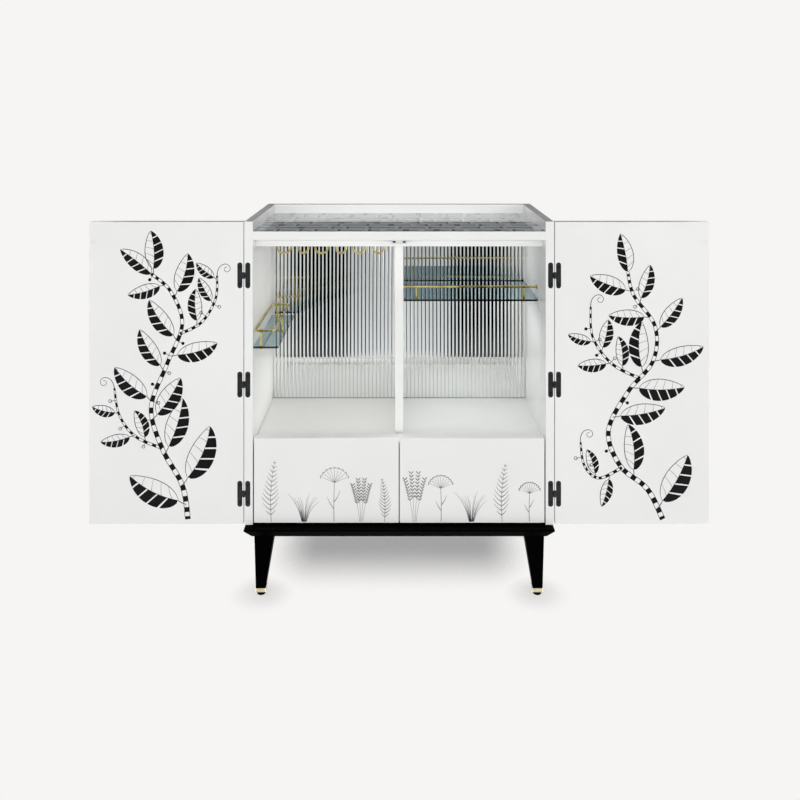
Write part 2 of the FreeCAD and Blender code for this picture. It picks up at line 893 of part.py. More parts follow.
def write_drawers():
    write_pair("drawer_front", drawer_front())
    write_pair("drawer_outer_side", drawer_side((drawer_box_x[0], drawer_inner_x[0])))
    write_pair("drawer_inner_side", drawer_side((drawer_inner_x[1], drawer_box_x[1])))
    write_pair("drawer_back", drawer_back())
    write_pair("drawer_bottom", drawer_bottom())
    write_pair("drawer_slides", group(at_drawer_walls(slide())))
    write_pair("drawer_runners", group(at_drawer_walls(runner())))


write_carcass()
write_legs()
write_fittings()
write_hinges()
write_doors()
write_drawers()
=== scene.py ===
import math
import random

import bpy
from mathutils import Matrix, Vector


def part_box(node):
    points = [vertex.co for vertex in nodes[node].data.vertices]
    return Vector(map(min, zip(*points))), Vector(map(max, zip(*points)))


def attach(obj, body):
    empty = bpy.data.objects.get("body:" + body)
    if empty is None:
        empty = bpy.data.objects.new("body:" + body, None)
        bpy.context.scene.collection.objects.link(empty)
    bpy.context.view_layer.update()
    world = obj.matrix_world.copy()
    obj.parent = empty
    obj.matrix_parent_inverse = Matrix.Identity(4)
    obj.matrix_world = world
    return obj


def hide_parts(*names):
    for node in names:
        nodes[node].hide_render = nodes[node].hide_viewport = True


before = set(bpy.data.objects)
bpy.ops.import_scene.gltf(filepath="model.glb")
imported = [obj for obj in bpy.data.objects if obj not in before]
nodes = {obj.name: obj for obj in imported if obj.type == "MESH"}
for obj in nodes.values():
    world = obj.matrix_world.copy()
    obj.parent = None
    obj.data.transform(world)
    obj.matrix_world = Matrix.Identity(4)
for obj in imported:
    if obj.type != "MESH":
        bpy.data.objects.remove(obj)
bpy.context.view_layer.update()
mm = 0.001
print("frame loaded:", len(nodes), "nodes")


# camera: level, looking straight at the front
view = {"lens": 37.3, "sensor": 36, "place": (0, -2.326, 1.273), "tilt": 90, "shift": (0.001, -0.365)}

camera = bpy.data.objects.new("camera", bpy.data.cameras.new("camera"))
camera.data.lens, camera.data.sensor_width = view["lens"], view["sensor"]
camera.data.shift_x, camera.data.shift_y = view["shift"]
camera.location = view["place"]
camera.rotation_euler = (math.radians(view["tilt"]), 0, 0)
bpy.context.collection.objects.link(camera)
bpy.context.scene.camera = camera
bpy.context.scene.view_settings.view_transform = "Standard"


# helpers
def linear(hexColour):
    parts = [int(hexColour[at:at + 2], 16) / 255 for at in (1, 3, 5)]
    return tuple(p / 12.92 if p <= 0.04045 else ((p + 0.055) / 1.055) ** 2.4 for p in parts) + (1,)


def add(tree, kind, inputs=None, **settings):
    node = tree.nodes.new(kind)
    for name, value in settings.items():
        setattr(node, name, value)
    for socket, value in (inputs or {}).items():
        if isinstance(value, bpy.types.NodeSocket):
            tree.links.new(value, node.inputs[socket])
        else:
            node.inputs[socket].default_value = value
    return node


def emptyMaterial(name):
    material = bpy.data.materials.new(name)
    material.use_nodes = True
    material.node_tree.nodes.clear()
    return material, material.node_tree


def setStops(ramp, stops):
    elements = ramp.color_ramp.elements
    while len(elements) < len(stops):
        elements.new(0.5)
    for element, (place, hexColour) in zip(elements, stops):
        element.position, element.color = place, linear(hexColour)
    return ramp.outputs["Color"]


def meshPiece(name, points, faces, material):
    mesh = bpy.data.meshes.new(name)
    mesh.from_pydata([Vector(p) * mm for p in points], [], faces)
    mesh.update()
    mesh.materials.append(material)
    piece = bpy.data.objects.new(name, mesh)
    bpy.context.collection.objects.link(piece)
    return piece


# finishes. Sizes in mm: cloud is the size of the slow changes of tone, grain that of the fine bumps
shared = {"cloudDetail": 3.0, "grainDetail": 2.0, "cloudRange": (0.3, 0.7), "toneRange": (0.35, 0.65),
          "coatRough": 0.06, "specular": 0.5}


def finish(name, look):
    material, tree = emptyMaterial(name)
    place = add(tree, "ShaderNodeTexCoord").outputs["Object"]
    clouds = add(tree, "ShaderNodeTexNoise", {"Vector": place, "Scale": 1 / (look["cloud"] * mm),
                                              "Detail": shared["cloudDetail"]}).outputs["Fac"]
    tone = add(tree, "ShaderNodeValToRGB", {"Fac": clouds})
    tones = list(zip(shared["toneRange"], (look["deep"], look["pale"])))
    gloss = add(tree, "ShaderNodeMapRange", {
        "Value": clouds, "From Min": shared["cloudRange"][0], "From Max": shared["cloudRange"][1],
        "To Min": look["rough"][0], "To Max": look["rough"][1]})
    grain = add(tree, "ShaderNodeTexNoise", {"Vector": place, "Scale": 1 / (look["grain"] * mm),
                                             "Detail": shared["grainDetail"]}).outputs["Fac"]
    bump = add(tree, "ShaderNodeBump", {"Height": grain, "Distance": look["lift"] * mm})
    shader = add(tree, "ShaderNodeBsdfPrincipled", {
        "Base Color": setStops(tone, tones), "Roughness": gloss.outputs["Result"],
        "Normal": bump.outputs["Normal"], "Metallic": look.get("metallic", 0.0),
        "Coat Weight": look.get("coat", 0.0), "Coat Roughness": shared["coatRough"],
        "Specular IOR Level": look.get("specular", shared["specular"])})
    add(tree, "ShaderNodeOutputMaterial", {"Surface": shader.outputs["BSDF"]})
    return material


finishes = {
    # polyurethane lacquer sprayed on board and left glossy: even white, faint orange peel (real cells
    # 1 to 2 mm, drawn 5 mm so that they show)
    "white_lacquer": finish("whitePolyurethaneLacquer", {
        "pale": "#EEEEEC", "deep": "#EAEAE8", "cloud": 260, "rough": (0.16, 0.24), "grain": 5,
        "lift": 0.02, "coat": 0.2}),
    # one thin coat of matt lacquer on plywood: a little duller and warmer than the outside
    "drawer_box_lacquer": finish("mattDrawerLacquer", {
        "pale": "#E2E1DC", "deep": "#DAD9D3", "cloud": 180, "rough": (0.45, 0.6), "grain": 3,
        "lift": 0.04}),
    # black lacquer rubbed to a satin: deep black with a soft grey sheen
    "black_lacquer": finish("blackSatinLacquer", {
        "pale": "#040404", "deep": "#020202", "cloud": 120, "rough": (0.3, 0.4), "grain": 4,
        "lift": 0.02, "specular": 0.004}),
    # brass rod, polished and clear lacquered: warm yellow, clean highlights, faint streaks
    "polished_brass": finish("polishedBrassRod", {
        "pale": "#E8D794", "deep": "#C3AC5E", "cloud": 22, "rough": (0.05, 0.12), "grain": 1.5,
        "lift": 0.01, "metallic": 1.0}),
    # turned brass foot, brushed: paler and softer than the rods
    "pale_brass": finish("brushedBrassFerrule", {
        "pale": "#FFF4DE", "deep": "#F0E0BC", "cloud": 14, "rough": (0.26, 0.36), "grain": 1,
        "lift": 0.02, "metallic": 1.0}),
    # steel, powder coated black: fine texture (real grain 0.3 mm, drawn 1.2 mm)
    "hinge_metal": finish("blackPowderCoatedSteel", {
        "pale": "#1B1B1C", "deep": "#101011", "cloud": 30, "rough": (0.42, 0.55), "grain": 1.2,
        "lift": 0.05, "specular": 0.4}),
    # steel screws, blackened in oil: nearly black with a dull metal gleam
    "hinge_screw": finish("blackenedScrewSteel", {
        "pale": "#2C2C2E", "deep": "#1C1C1E", "cloud": 4, "rough": (0.3, 0.42), "grain": 0.8,
        "lift": 0.01, "metallic": 1.0}),
    # bright steel pins and bolts: plain grey metal
    "plain_steel": finish("brightTurnedSteel", {
        "pale": "#B9BABC", "deep": "#9D9EA1", "cloud": 8, "rough": (0.25, 0.35), "grain": 0.8,
        "lift": 0.01, "metallic": 1.0}),
    # zinc plated and rolled steel strip of the slides: pale grey, faint spangle
    "slide_steel": finish("zincPlatedSteelStrip", {
        "pale": "#C6C9CC", "deep": "#A9ADB1", "cloud": 16, "rough": (0.3, 0.42), "grain": 2,
        "lift": 0.02, "metallic": 1.0}),
    # moulded polyethylene glides: soft black
    "glide_plastic": finish("mouldedGlidePlastic", {
        "pale": "#08080A", "deep": "#050506", "cloud": 10, "rough": (0.5, 0.6), "grain": 1,
        "lift": 0.03, "specular": 0.02}),
    # moulded ABS latch housing: pale grey, satin
    "latch_grey": finish("mouldedLatchGrey", {
        "pale": "#DADAD8", "deep": "#D2D2D0", "cloud": 20, "rough": (0.35, 0.45), "grain": 1,
        "lift": 0.02}),
    # nylon plungers with a rubber tip: black and dull
    "latch_black": finish("mouldedPlungerNylon", {
        "pale": "#141415", "deep": "#0D0D0E", "cloud": 6, "rough": (0.5, 0.6), "grain": 0.8,
        "lift": 0.02}),
    # steel discs painted with the door: the same white, a little flatter
    "strike_paint": finish("paintedStrikeWhite", {
        "pale": "#E6E6E4", "deep": "#DFDFDD", "cloud": 12, "rough": (0.3, 0.38), "grain": 1,
        "lift": 0.02}),
}


# what both glasses share: a colour for each way that a face can look, and faint smears in the gloss
def glassColours(tree, look, axis):
    facing = add(tree, "ShaderNodeNewGeometry").outputs["Normal"]
    facing = add(tree, "ShaderNodeSeparateXYZ", {"Vector": facing}).outputs[axis]
    facing = add(tree, "ShaderNodeMath", {0: facing}, operation="ABSOLUTE").outputs[0]
    place = add(tree, "ShaderNodeTexCoord").outputs["Object"]
    smears = add(tree, "ShaderNodeTexNoise", {"Vector": place, "Scale": 1 / (look["smear"] * mm),
                                              "Detail": look["detail"]}).outputs["Fac"]
    gloss = add(tree, "ShaderNodeMapRange", {"Value": smears, "To Min": look["rough"][0],
                                             "To Max": look["rough"][1]}).outputs["Result"]
    return setStops(add(tree, "ShaderNodeValToRGB", {"Fac": facing}), look["tones"]), gloss


# float glass tinted grey in the melt: clear blue-grey through its faces, nearly black at its cut edges
def smokedFloatGlass(look):
    material, tree = emptyMaterial("smokedFloatGlass")
    tint, gloss = glassColours(tree, look, "Z")
    shader = add(tree, "ShaderNodeBsdfPrincipled", {
        "Base Color": tint, "Roughness": gloss, "IOR": look["ior"], "Transmission Weight": 1.0})
    add(tree, "ShaderNodeOutputMaterial", {"Surface": shader.outputs["BSDF"]})
    return material


finishes["smoked_glass"] = smokedFloatGlass({
    "tones": [(0.3, "#06090A"), (0.7, "#A9C4CC")],  # upright edges, then level faces
    "smear": 60, "detail": 4.0, "rough": (0.0, 0.03), "ior": 1.52})


# glass pressed in ribs and silvered behind: sharp and faintly cool, painted grey as shade in the rib
# valleys
def silveredRibbedGlass(look):
    material, tree = emptyMaterial("silveredRibbedGlass")
    tint, gloss = glassColours(tree, look, "X")
    shader = add(tree, "ShaderNodeBsdfPrincipled", {
        "Base Color": tint, "Roughness": gloss, "Metallic": 1.0})
    add(tree, "ShaderNodeOutputMaterial", {"Surface": shader.outputs["BSDF"]})
    return material


finishes["fluted_mirror"] = silveredRibbedGlass({
    # the grey at the valley end of these tones is painted shade
    "tones": [(0.05, "#FCFDFC"), (0.2, "#ECEFEF"), (0.27, "#ECEFEF"), (0.34, "#7C8080")],  # crown to valley
    "smear": 90, "detail": 2.0, "rough": (0.0, 0.04)})

for node in nodes.values():
    for slot in node.material_slots:
        slot.material = finishes[slot.material.name]
print("finishes:", len(finishes))


# prints. Each is a film of ink made of strips, a strip being a list of (left, right) points in mm. Real
# ink is 0.02 mm thick, drawn thicker so that it stands clear of the face under it
def printPiece(name, strips, toPlace, thickness, material, body):
    points, faces = [], []
    for strip in strips:
        first = len(points)  # four points to a pair: two on the film's face, two on its back
        for left, right in strip:
            points += [toPlace(*left, thickness), toPlace(*right, thickness)]
            points += [toPlace(*left, 0), toPlace(*right, 0)]
        for a in range(first, len(points) - 4, 4):
            b = a + 4
            faces += [(a, a + 1, b + 1, b), (a + 2, b + 2, b + 3, a + 3)]
            faces += [(a, b, b + 2, a + 2), (a + 1, a + 3, b + 3, b + 1)]
        a, b = first, len(points) - 4
        faces += [(a, a + 2, a + 3, a + 1), (b, b + 1, b + 3, b + 2)]
    piece = meshPiece(name, points, faces, material)
    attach(piece, body)
    return piece


# fluted mirrors: upright ribs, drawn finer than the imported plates. Their slope is slight over the crown
# and steep at the sides, so that each rib holds a nearly flat reflection between two bright lines
flutes = {"count": 32, "steps": 20, "crown": 0.03, "side": 0.36, "power": 2.5}
stripSize = {"height": 1.7, "thickness": 0.5}


def ribDepth(share):  # share runs from -1 to 1 across a rib
    high = flutes["power"] + 1
    return flutes["crown"] * share ** 2 / 2 + flutes["side"] * abs(share) ** high / high


def flutedMirror(side):
    low, high = (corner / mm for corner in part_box("fluted_mirror_" + side))
    half = (high.x - low.x) / flutes["count"] / 2
    line, valleys = [], {0}
    for rib in range(flutes["count"]):
        for step in range(flutes["steps"] + (rib == flutes["count"] - 1)):
            share = 2 * step / flutes["steps"] - 1
            line.append((low.x + half * (2 * rib + 1 + share), low.y + half * ribDepth(share)))
        valleys.add(len(line))
    valleys.add(len(line) - 1)
    ring = line + [(high.x, high.y), (low.x, high.y)]
    count = len(ring)
    points = [(x, y, low.z) for x, y in ring] + [(x, y, high.z) for x, y in ring]
    faces = [(at, (at + 1) % count, (at + 1) % count + count, at + count) for at in range(count)]
    faces += [tuple(reversed(range(count))), tuple(range(count, 2 * count))]
    piece = meshPiece("ribbed_mirror_" + side, points, faces, finishes["fluted_mirror"])
    for face in piece.data.polygons:
        face.use_smooth = face.index < len(line) - 1
    for edge in piece.data.edges:
        a, b = sorted(edge.vertices)
        edge.use_edge_sharp = b - a == count and a in valleys
    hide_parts("fluted_mirror_" + side)
    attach(piece, "carcass")

    # the grey strip at the mirror's foot follows the ribs
    def onRibs(x, z, lift):  # the bead follows the ribs
        share = (x - low.x) % (2 * half) / half - 1
        return x, low.y + half * ribDepth(share) - lift, z

    strip = [((x, low.z), (x, low.z + stripSize["height"])) for x, y in line]
    printPiece("mirror_foot_strip_" + side, [strip], onRibs, stripSize["thickness"], footStrip, "carcass")


footStrip = finish("mirrorFootStrip", {
    # a thin grey strip along each mirror's foot where it meets the deck: dull, darker than the deck
    "pale": "#6A6D6B", "deep": "#555856", "cloud": 20, "rough": (0.5, 0.6), "grain": 2, "lift": 0.03})
for side in ("left", "right"):
    flutedMirror(side)
print("mirrors done")


def smoothPath(points, steps):  # a smooth curve through the points
    padded = [points[0]] + list(points) + [points[-1]]
    path = []
    for at in range(1, len(padded) - 2):
        p0, p1, p2, p3 = (Vector(p) for p in padded[at - 1:at + 3])
        for step in range(steps):
            t = step / steps
            path.append((2 * p1 + (p2 - p0) * t + (2 * p0 - 5 * p1 + 4 * p2 - p3) * t ** 2
                         + (3 * p1 - p0 - 3 * p2 + p3) * t ** 3) / 2)
    return path + [Vector(points[-1])]


def stroke(path, start, end, belly=0):  # a line as wide as start and end at its ends, swollen between
    strip = []
    for at, point in enumerate(path):
        share = at / (len(path) - 1)
        ahead = path[min(at + 1, len(path) - 1)] - path[max(at - 1, 0)]
        across = Vector((-ahead.y, ahead.x)).normalized()
        across *= (start + (end - start) * share + belly * math.sin(math.pi * share)) / 2
        strip.append((point + across, point - across))
    return strip


def disc(centre, radius, steps=10):
    strip = []
    for step in range(1, steps):
        turn = math.pi * (step / steps - 0.5)
        out = Vector((radius * math.cos(turn), 0))
        middle = centre + Vector((0, radius * math.sin(turn)))
        strip.append((middle - out, middle + out))
    return strip


def ring(centre, radius, width, steps=20):
    strip = []
    for step in range(steps + 1):
        turn = 2 * math.pi * step / steps
        out = Vector((math.cos(turn), math.sin(turn)))
        strip.append((centre + out * (radius - width), centre + out * radius))
    return strip


def curled(base, angle, length, bends, steps=12):  # a line whose heading turns more and more
    point, path = Vector(base), [Vector(base)]
    for step in range(steps):
        share = (step + 0.5) / steps
        turn = angle + sum(bend * share ** (power + 1) for power, bend in enumerate(bends))
        point = point + Vector((math.cos(turn), math.sin(turn))) * (length / steps)
        path.append(point)
    return path


# doors' inner faces: a climbing vine whose leaves are black on one half and drawn in line on the other.
# Widths in mm, places as shares of the leaf's length
leafLook = {"cells": 5, "slant": 0.16, "gap": 0.014, "ease": 4, "inner": 0.4,
            "baseRound": 0.62, "tipRound": 0.8, "peak": 0.378, "thin": 0.2,
            "rib": 1.5, "ribTaper": 0.8, "outline": 1.7, "outlineThin": 0.05, "outlineEnds": (0.005, 0.995),
            "vein": 0.9, "veinStart": 0.6, "veinBow": 0.45, "veinShort": 0.5, "veinTip": 0.6,
            "steps": {"rib": 16, "cell": 6, "outline": 18}}


def leaf(base, angle, length, width, sweep, darkLeft):
    look, steps = leafLook, leafLook["steps"]
    first = angle - sweep / 2

    def spot(t, offset):
        turn = first + sweep * t
        x = base[0] + length / sweep * (math.sin(turn) - math.sin(first))
        y = base[1] - length / sweep * (math.cos(turn) - math.cos(first))
        return Vector((x - math.sin(turn) * offset, y + math.cos(turn) * offset))

    def half(t):
        swell = t ** look["baseRound"] * (1 - t) ** look["tipRound"] / look["peak"]
        return max(look["thin"], width / 2 * swell)

    dark = 1 if darkLeft else -1
    rib = []
    for step in range(steps["rib"] + 1):
        t = step / steps["rib"]
        wide = look["rib"] * (1 - look["ribTaper"] * t) / 2
        rib.append((spot(t, wide), spot(t, -wide)))
    strips = [rib]
    for cell in range(look["cells"]):
        low = cell / look["cells"] + look["gap"]
        high = (cell + 1) / look["cells"] - look["gap"]
        black = []
        for step in range(steps["cell"] + 1):
            t = low + (high - low) * step / steps["cell"]
            out = t + look["slant"] * (1 - t) * min(1, look["ease"] * t)
            pair = (spot(out, dark * half(out)), spot(t, dark * look["inner"]))
            black.append(pair if darkLeft else pair[::-1])
        strips.append(black)
        t = (cell + look["veinStart"]) / look["cells"]
        out = t + look["slant"] * (1 - t)
        vein = [spot(t, 0), spot((t + out) / 2, -dark * half(out) * look["veinBow"]),
                spot(out, -dark * (half(out) - look["veinShort"]))]
        strips.append(stroke(vein, look["vein"], look["vein"] * look["veinTip"]))
    outline, (start, end) = [], look["outlineEnds"]
    for step in range(steps["outline"] + 1):
        t = start + (end - start) * step / steps["outline"]
        inside = max(look["outlineThin"], half(t) - look["outline"])
        pair = (spot(t, -dark * inside), spot(t, -dark * half(t)))
        outline.append(pair if darkLeft else pair[::-1])
    strips.append(outline)
    return strips


stemLook = {"pitch": 4, "band": 3, "rim": (1.3, 1.1)}  # pitch and band in steps of the path, rim in mm


def bandedStem(path, start, end):  # short black bands between two rims
    strips, count = [], len(path) - 1
    for at in range(0, count, stemLook["pitch"]):
        piece = path[at:at + stemLook["band"]]
        if len(piece) > 1:
            width = start + (end - start) * at / count
            strips.append(stroke(piece, width, width))
    for side in (-1, 1):
        line = stroke(path, start, end)
        rim = [left if side < 0 else right for left, right in line]
        strips.append(stroke(rim, *stemLook["rim"]))
    return strips


# pairs are the least and the most that chance gives, or the widths at a line's two ends
vineLook = {"steps": 14, "joint": 4, "clear": 6, "endGap": 6, "shrink": 0.35, "closer": 0.25,
            "size": (0.9, 1.1), "turn": (0.75, 1.05), "broad": (0.42, 0.49), "sweep": (0.25, 0.6),
            "room": ((0.2, 0.15), (0.5, 0.22), (0.85, 0.1)),  # places along a leaf, the room needed there
            "stalk": {"turn": 1.2, "length": 0.16, "bend": 0.4, "steps": 4, "width": (2, 1.6)},
            "berry": {"chance": 0.45, "reach": (13, 17), "stalk": (1.2, 1), "black": 0.5, "radius": 4.2,
                      "ring": (4.6, 1.4)},
            "endLeaf": {"length": 0.72, "width": 0.3, "sweep": 0.2},
            "curl": {"length": 95, "bends": (1.5, 3.5, 3.2), "steps": 30, "width": (1.8, 1.1)},
            "film": 0.2, "hingeRoom": 34}


def vine(stems, seed, room):
    look, stalkLook, berryLook = vineLook, vineLook["stalk"], vineLook["berry"]
    chance = random.Random(seed)
    strips, taken = [], []
    paths = [smoothPath(stem["points"], look["steps"]) for stem in stems]
    for stem, path in zip(stems, paths):
        others = [(point, look["clear"]) for other in paths if other is not path
                  for point in other[look["joint"]:]]  # the first points lie where a branch leaves the stem
        strips += bandedStem(path, *stem["width"])
        lengths = [0]
        for a, b in zip(path, path[1:]):
            lengths.append(lengths[-1] + (b - a).length)
        walked, side = stem["first"], stem["side"]
        while walked < lengths[-1] - look["endGap"]:
            at = next(index for index, length in enumerate(lengths) if length >= walked)
            share = walked / lengths[-1]
            ahead = path[min(at + 1, len(path) - 1)] - path[at - 1]
            along = math.atan2(ahead.y, ahead.x)
            size = stem["leaf"] * (1 - look["shrink"] * share) * chance.uniform(*look["size"])
            angle = along + side * chance.uniform(*look["turn"])
            broad, sweep = size * chance.uniform(*look["broad"]), -side * chance.uniform(*look["sweep"])
            stalk = curled(path[at], along + side * stalkLook["turn"], size * stalkLook["length"],
                           [-side * stalkLook["bend"]], stalkLook["steps"])
            out = Vector((math.cos(angle), math.sin(angle)))
            spots = [(stalk[-1] + out * size * t, size * wide) for t, wide in look["room"]]
            inside = all(room[0].x + r < a.x < room[1].x - r and room[0].z + r < a.y < room[1].z - r
                         for a, r in spots)
            if inside and all((a - b).length > ra + rb for a, ra in spots for b, rb in taken + others):
                taken += spots
                strips.append(stroke(stalk, *stalkLook["width"]))
                strips += leaf(stalk[-1], angle, size, broad, sweep, side > 0)
            if chance.random() < berryLook["chance"]:
                across = Vector((-math.sin(along), math.cos(along)))
                berry = path[at] - across * side * chance.uniform(*berryLook["reach"])
                strips.append(stroke([path[at], berry], *berryLook["stalk"]))
                black = chance.random() < berryLook["black"]
                strips.append(disc(berry, berryLook["radius"]) if black
                              else ring(berry, *berryLook["ring"]))
            walked += stem["gap"] * (1 - look["closer"] * share)
            side = -side
        tip = path[-1]
        ahead = path[-1] - path[-3]
        along = math.atan2(ahead.y, ahead.x)
        if stem["end"] == "leaf":
            last = look["endLeaf"]
            strips += leaf(tip, along, stem["leaf"] * last["length"], stem["leaf"] * last["width"],
                           last["sweep"], True)
        else:
            curl = look["curl"]
            bends = [side * bend for bend in curl["bends"]]
            path = curled(tip, along, curl["length"], bends, curl["steps"])
            strips.append(stroke(path, *curl["width"]))
    return strips


def onDoor(x, z, lift):
    return x, doorFace - lift, z


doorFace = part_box("door_left")[0].y / mm
blackInk = finish("blackScreenInk", {
    # screen ink under clear lacquer: dense black, a little flatter than the white round it
    "pale": "#070707", "deep": "#040404", "cloud": 60, "rough": (0.3, 0.4), "grain": 2, "lift": 0.01,
    "specular": 0.15})
vines = {
    "left": {"seed": 5, "stems": [
        {"points": [(-545, 212), (-560, 300), (-612, 395), (-640, 500), (-600, 610), (-560, 715),
                    (-590, 800), (-640, 845)],
         "width": (13, 7), "leaf": 142, "gap": 50, "first": 34, "side": 1, "end": "leaf"},
        {"points": [(-612, 395), (-680, 425), (-722, 480), (-735, 550)],
         "width": (7, 4), "leaf": 88, "gap": 40, "first": 40, "side": -1, "end": "curl"},
        {"points": [(-566, 690), (-510, 720), (-474, 780), (-470, 840)],
         "width": (7, 4), "leaf": 84, "gap": 40, "first": 44, "side": 1, "end": "curl"}]},
    "right": {"seed": 11, "stems": [
        {"points": [(680, 212), (640, 290), (570, 350), (540, 440), (590, 540), (655, 620), (660, 710),
                    (605, 790), (590, 850)],
         "width": (13, 7), "leaf": 140, "gap": 50, "first": 30, "side": -1, "end": "leaf"},
        {"points": [(575, 345), (515, 318), (478, 350), (468, 410)],
         "width": (7, 4), "leaf": 82, "gap": 38, "first": 36, "side": 1, "end": "curl"},
        {"points": [(622, 575), (550, 612), (500, 680), (494, 760)],
         "width": (7, 4), "leaf": 88, "gap": 40, "first": 44, "side": -1, "end": "curl"}]},
}
for side, art in vines.items():
    room = [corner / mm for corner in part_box("door_" + side)]
    room[side == "left"].x += vineLook["hingeRoom"] * (-1 if side == "left" else 1)  # bare by the hinges
    strips = vine(art["stems"], art["seed"], room)
    printPiece("door_vine_" + side, strips, onDoor, vineLook["film"], blackInk, "door_" + side)
print("door prints done")


# drawer fronts: grasses and ferns in fine grey line. Widths in mm, turns and bends in radians. The real
# lines would be 0.4 mm wide, drawn coarser to show
plantLook = {"film": 0.15, "rise": 3}
fernLook = {"steps": 26, "lean": 0.3, "width": (1.5, 0.7), "first": 3, "every": 2, "reach": 0.24,
            "narrow": 0.8, "ease": 4, "least": 2, "turn": 1.05, "bend": 0.5, "frondSteps": 5,
            "frond": (2.4, 0.8)}
tuftLook = {"seed": 23, "blades": 13, "spread": 1.1, "uneven": 0.06, "foot": 10, "turn": 0.45,
            "height": (0.6, 1), "bends": (0.4, 0.9), "steps": 10, "width": (2, 0.5)}
oatLook = {"stalks": 4, "spread": 0.22, "foot": 12, "turn": 0.3, "lower": 0.48, "bend": 0.6, "steps": 14,
           "width": (1.0, 0.7), "first": 7, "grain": 10, "grainTurn": 0.55, "grainBend": 0.3,
           "grainSteps": 5, "grainWidth": (0.6, 0.4, 2.6)}
umbelLook = {"lean": 0.2, "bend": 0.5, "stem": 0.74, "steps": 12, "width": (1.8, 1.2), "rays": 9,
             "fan": 2.3, "ray": 0.26, "rayWidth": (1.0, 0.7), "sparks": 5, "sparkTurn": 0.5,
             "sparkReach": 4, "spark": (1.3, 6), "leafPlaces": ((-1, 4), (1, 6)), "leafTurn": 0.7,
             "leaf": 0.26, "leafBend": 0.4, "leafSteps": 6, "leafWidth": (2.4, 0.6)}
upright = math.pi / 2


def fern(base, height, lean):
    look, count = fernLook, fernLook["steps"]
    path = curled(base, upright + lean * look["lean"], height, [-lean], count)
    strips = [stroke(path, *look["width"])]
    for at in range(look["first"], count, look["every"]):
        share = at / count
        ahead = path[at] - path[at - 1]
        along = math.atan2(ahead.y, ahead.x)
        reach = height * look["reach"] * (1 - share) ** look["narrow"] * min(1, share * look["ease"])
        for side in (-1, 1):
            frond = curled(path[at], along + side * look["turn"], reach + look["least"],
                           [-side * look["bend"]], look["frondSteps"])
            strips.append(stroke(frond, *look["frond"]))
    return strips


def grassTuft(base, height, lean):
    look, strips = tuftLook, []
    chance = random.Random(look["seed"])
    for blade in range(look["blades"]):
        spread = (blade / (look["blades"] - 1) - 0.5) * look["spread"]
        spread += chance.uniform(-look["uneven"], look["uneven"])
        path = curled((base[0] + spread * look["foot"], base[1]), upright + lean - spread * look["turn"],
                      height * chance.uniform(*look["height"]),
                      [-spread * bend for bend in look["bends"]], look["steps"])
        strips.append(stroke(path, *look["width"]))
    return strips


def oatStalks(base, height, lean):
    look, strips = oatLook, []
    for stalk in range(look["stalks"]):
        spread = (stalk - (look["stalks"] - 1) / 2) * look["spread"]
        path = curled((base[0] + spread * look["foot"], base[1]), upright + lean - spread * look["turn"],
                      height * (1 - look["lower"] * abs(spread)), [-spread * look["bend"]], look["steps"])
        strips.append(stroke(path, *look["width"]))
        for at in range(look["first"], len(path)):
            for side in (-1, 1):
                grain = curled(path[at], upright - side * look["grainTurn"], look["grain"],
                               [-side * look["grainBend"]], look["grainSteps"])
                strips.append(stroke(grain, *look["grainWidth"]))
    return strips


def umbel(base, height, lean):
    look = umbelLook
    path = curled(base, upright + lean * look["lean"], height * look["stem"], [-lean * look["bend"]],
                  look["steps"])
    strips = [stroke(path, *look["width"])]
    for ray in range(look["rays"]):
        angle = upright + (ray / (look["rays"] - 1) - 0.5) * look["fan"]
        end = path[-1] + Vector((math.cos(angle), math.sin(angle))) * height * look["ray"]
        strips.append(stroke([path[-1], end], *look["rayWidth"]))
        for spark in range(look["sparks"]):
            turn = angle + (spark - (look["sparks"] - 1) / 2) * look["sparkTurn"]
            spot = end + Vector((math.cos(turn), math.sin(turn))) * look["sparkReach"]
            strips.append(disc(spot, *look["spark"]))
    for side, at in look["leafPlaces"]:
        blade = curled(path[at], upright - side * look["leafTurn"], height * look["leaf"],
                       [side * look["leafBend"]], look["leafSteps"])
        strips.append(stroke(blade, *look["leafWidth"]))
    return strips


# each plant, its place across the fronts, its height and its lean
plants = {
    "left": [(fern, -330, 158, 0.3), (grassTuft, -246, 84, 0), (umbel, -168, 136, 0.2),
             (oatStalks, -98, 112, 0), (fern, -38, 112, -0.3)],
    "right": [(oatStalks, 40, 130, 0), (umbel, 108, 116, -0.2), (grassTuft, 186, 90, 0),
              (fern, 266, 150, 0.3), (umbel, 336, 98, 0.2)],
}
greyInk = finish("greyScreenInk", {
    # thin grey screen ink: flat lines with a soft edge to their tone
    "pale": "#8E8E8D", "deep": "#747473", "cloud": 12, "rough": (0.35, 0.45), "grain": 1, "lift": 0.01})
for side, row in plants.items():
    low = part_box("drawer_front_" + side)[0] / mm
    strips = []
    for grow, x, height, lean in row:
        strips += grow((x, low.z + plantLook["rise"]), height, lean)
    printPiece("drawer_grasses_" + side, strips, lambda x, z, lift: (x, low.y - lift, z),
               plantLook["film"], greyInk, "drawer_" + side)
print("drawer prints done")


# tray floor: a fret of short dark bars with a hook at one end on a grey ground, printed and lacquered over
fret = {"seed": 7, "across": 38, "deep": 8, "runs": (1, 3), "start": 0.3, "end": 0.5, "bar": 11, "hook": 8,
        "hookReach": 0.34, "margin": 0.8, "ground": 0.1, "film": 0.2}

trayLow, trayHigh = (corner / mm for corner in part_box("top_panel"))
trayGrey = finish("greyTrayPrint", {
    # grey print under gloss lacquer: pale grey with a clear shine
    "pale": "#E2E5E8", "deep": "#D8DBDE", "cloud": 90, "rough": (0.04, 0.08), "grain": 6, "lift": 0.002})
trayInk = finish("darkTrayInk", {
    # darker lines of the same print
    "pale": "#727578", "deep": "#64676A", "cloud": 40, "rough": (0.05, 0.09), "grain": 6, "lift": 0.002})


